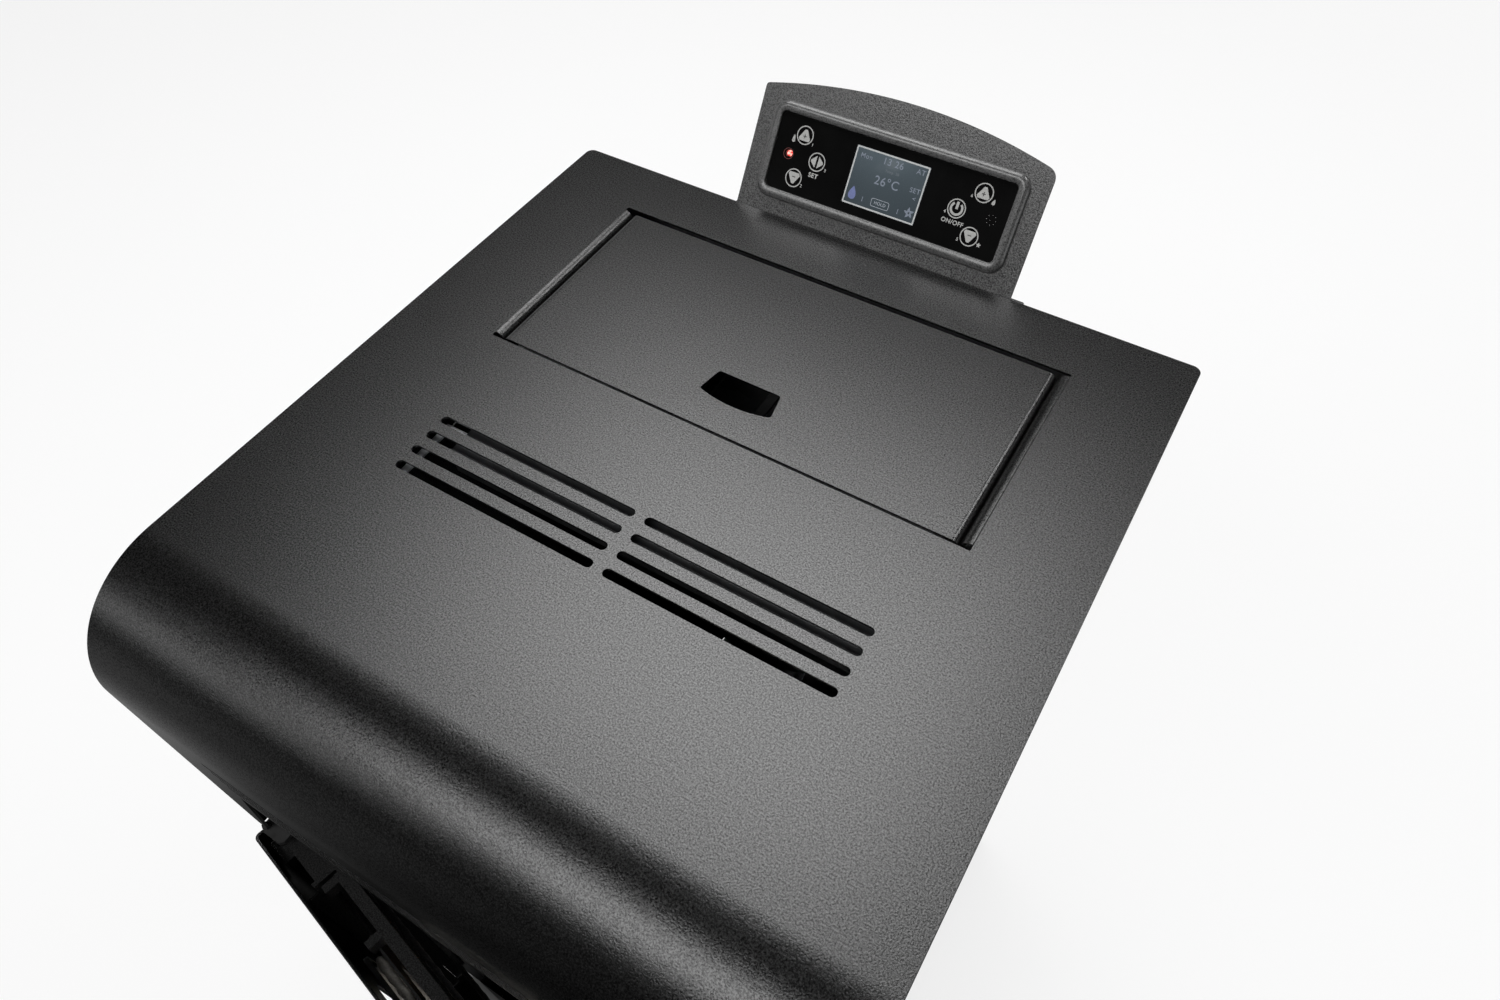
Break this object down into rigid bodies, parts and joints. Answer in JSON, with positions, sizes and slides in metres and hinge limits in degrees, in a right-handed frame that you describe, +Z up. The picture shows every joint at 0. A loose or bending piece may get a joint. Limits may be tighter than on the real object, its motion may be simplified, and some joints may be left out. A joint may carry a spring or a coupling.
{
  "type": "pellet stove",
  "caption": "Freestanding pellet stove: sheet-steel cabinet with a rolled front edge, hopper lid in the slotted top, leaning control panel and a hinged glazed fire door.",
  "frame": {"origin": "middle of the whole object's box in X and Y, on the floor under the levelling feet", "axes": "+Z up, -Y the side of the fire door, +X to the right as seen from the door"},
  "size_m": [0.5, 0.7138, 0.9863],
  "materials": {
    "powder_coat": "black fine-textured powder coat, satin",
    "dark_inside": "dull black paint",
    "stove_paint": "matt heat-resistant black paint",
    "motor_grey": "grey painted steel",
    "galvanised": "galvanised sheet",
    "steel": "plain turned steel",
    "cast_iron": "rough as-cast iron",
    "aluminium": "die-cast aluminium",
    "black_glass": "black-printed glass",
    "clear_glass": "clear ceramic glass",
    "display": "grey-blue liquid-crystal display",
    "red_lens": "red lens",
    "circuit_board": "green circuit board",
    "black_plastic": "black moulded plastic",
    "rope_seal": "woven glass-fibre rope",
    "dark_seal": "dark fibre rope and strip",
    "fire_brick": "pressed vermiculite board"
  },
  "bodies": {
    "cabinet": {"hood": "powder_coat", "side_panel_left": "powder_coat", "side_panel_right": "powder_coat", "rear_panel": "galvanised", "base_plate": "stove_paint", "outlet_grille": "dark_inside", "lid_hinge_pin": "steel", "hopper": "galvanised", "hopper_guard": "galvanised", "lid_seal": "dark_seal", "top_shield": "galvanised", "panel_plate": "powder_coat", "panel_bezel": "powder_coat", "panel_glass": "black_glass", "display_module": "display", "status_led": "red_lens", "panel_back_cover": "powder_coat", "panel_board": "circuit_board", "door_hinge_upper": "stove_paint", "door_hinge_lower": "stove_paint", "latch_keeper": "galvanised", "face_plate": "stove_paint", "firebox": "stove_paint", "liner_back": "fire_brick", "liner_left": "fire_brick", "liner_right": "fire_brick", "baffle_plate": "cast_iron", "air_box": "galvanised", "air_intake_pipe": "galvanised", "igniter": "aluminium", "heat_exchanger": "stove_paint", "auger_tube": "galvanised", "gear_motor": "motor_grey", "pellet_chute": "galvanised", "exhaust_case": "aluminium", "exhaust_motor": "motor_grey", "smoke_duct": "galvanised", "room_fan_case": "galvanised", "room_fan_motor": "motor_grey", "control_board": "circuit_board", "power_inlet": "black_plastic"},
    "lid": {"hopper_lid": "powder_coat"},
    "door": {"door_skin": "powder_coat", "door_frame": "stove_paint", "door_glass": "clear_glass", "glass_seal": "rope_seal", "door_seal": "dark_seal"},
    "handle": {"latch_spindle": "steel", "door_handle": "steel"},
    "drawer": {"ash_drawer": "powder_coat"},
    "pot": {"burn_pot": "cast_iron"},
    "scraper": {"tube_scraper": "steel"},
    "auger": {"auger_screw": "steel"},
    "exhaust_fan": {"exhaust_impeller": "steel"},
    "room_fan": {"room_fan_rotor": "aluminium"},
    "rocker": {"power_rocker": "black_plastic"},
    "front_left_foot": {"foot_front_left": "steel"},
    "front_right_foot": {"foot_front_right": "steel"},
    "rear_left_foot": {"foot_rear_left": "steel"},
    "rear_right_foot": {"foot_rear_right": "steel"}
  },
  "joints": [
    {"name": "lid_hinge", "type": "hinge", "parent": "cabinet", "child": "lid", "pos_m": [0, 0.23661, 0.894], "axis": [-1, 0, 0], "range_deg": [0, 100]},
    {"name": "door_hinge", "type": "hinge", "parent": "cabinet", "child": "door", "pos_m": [-0.2333, -0.22729, 0.3575], "axis": [0, 0, -1], "range_deg": [-12.4, 92.6]},
    {"name": "handle_turn", "type": "hinge", "parent": "door", "child": "handle", "pos_m": [0.19147, -0.33502, 0.38], "axis": [-0.2147, -0.9767, 0], "range_deg": [0, 90]},
    {"name": "ash_drawer_slide", "type": "slide", "parent": "cabinet", "child": "drawer", "axis": [0, -1, 0], "range_m": [0, 0.22]},
    {"name": "burn_pot_lift", "type": "slide", "parent": "cabinet", "child": "pot", "axis": [0, 0, 1], "range_m": [0, 0.06]},
    {"name": "scraper_slide", "type": "slide", "parent": "cabinet", "child": "scraper", "axis": [0, -1, 0], "range_m": [0, 0.05]},
    {"name": "auger_spin", "type": "hinge", "parent": "cabinet", "child": "auger", "pos_m": [0, 0.13861, 0.47], "axis": [0, 1, 0], "continuous": true},
    {"name": "exhaust_fan_spin", "type": "hinge", "parent": "cabinet", "child": "exhaust_fan", "pos_m": [-0.09, 0.17461, 0.128], "axis": [1, 0, 0], "continuous": true},
    {"name": "room_fan_spin", "type": "hinge", "parent": "cabinet", "child": "room_fan", "pos_m": [0.11, 0.19661, 0.07], "axis": [1, 0, 0], "continuous": true},
    {"name": "rocker_switch", "type": "hinge", "parent": "cabinet", "child": "rocker", "pos_m": [0.18, 0.29461, 0.138], "axis": [1, 0, 0], "range_deg": [-14, 0]},
    {"name": "front_left_foot_height", "type": "slide", "parent": "cabinet", "child": "front_left_foot", "axis": [0, 0, -1], "range_m": [0, 0.012]},
    {"name": "front_right_foot_height", "type": "slide", "parent": "cabinet", "child": "front_right_foot", "axis": [0, 0, -1], "range_m": [0, 0.012]},
    {"name": "rear_left_foot_height", "type": "slide", "parent": "cabinet", "child": "rear_left_foot", "axis": [0, 0, -1], "range_m": [0, 0.012]},
    {"name": "rear_right_foot_height", "type": "slide", "parent": "cabinet", "child": "rear_right_foot", "axis": [0, 0, -1], "range_m": [0, 0.012]}
  ]
}
